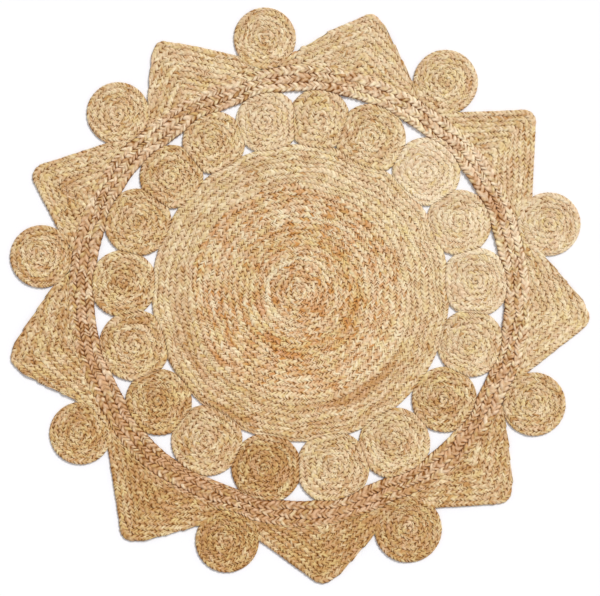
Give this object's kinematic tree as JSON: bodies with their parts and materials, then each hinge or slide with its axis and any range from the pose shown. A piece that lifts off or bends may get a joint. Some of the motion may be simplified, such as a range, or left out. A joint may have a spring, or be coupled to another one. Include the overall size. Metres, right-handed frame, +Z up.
{
  "type": "round jute rug",
  "caption": "Round rug of coiled jute braid: a centre disc, a ring of small rounds, a braided band, and an edge of points and rounds.",
  "frame": {"origin": "middle of the rug's outline at its underside", "axes": "+Z up from the floor, +Y towards the top of the rug as it is pictured, +X to its right"},
  "size_m": [1.203, 1.196, 0.01],
  "materials": {
    "centre_braid": "matt natural jute, coiled fine braid",
    "inner_braid": "matt natural jute, coiled fine braid",
    "band_braid": "matt natural jute, thicker braid in three turns",
    "point_braid": "matt natural jute, coiled fine braid",
    "edge_braid": "matt natural jute, coiled fine braid"
  },
  "bodies": {
    "root": {"centre_disc": "centre_braid", "inner_round_01": "inner_braid", "inner_round_02": "inner_braid", "inner_round_03": "inner_braid", "inner_round_04": "inner_braid", "inner_round_05": "inner_braid", "inner_round_06": "inner_braid", "inner_round_07": "inner_braid", "inner_round_08": "inner_braid", "inner_round_09": "inner_braid", "inner_round_10": "inner_braid", "inner_round_11": "inner_braid", "inner_round_12": "inner_braid", "inner_round_13": "inner_braid", "inner_round_14": "inner_braid", "inner_round_15": "inner_braid", "inner_round_16": "inner_braid", "inner_round_17": "inner_braid", "inner_round_18": "inner_braid", "band": "band_braid", "edge_point_01": "point_braid", "edge_point_02": "point_braid", "edge_point_03": "point_braid", "edge_point_04": "point_braid", "edge_point_05": "point_braid", "edge_point_06": "point_braid", "edge_point_07": "point_braid", "edge_point_08": "point_braid", "edge_point_09": "point_braid", "edge_round_01": "edge_braid", "edge_round_02": "edge_braid", "edge_round_03": "edge_braid", "edge_round_04": "edge_braid", "edge_round_05": "edge_braid", "edge_round_06": "edge_braid", "edge_round_07": "edge_braid", "edge_round_08": "edge_braid", "edge_round_09": "edge_braid"}
  },
  "joints": []
}
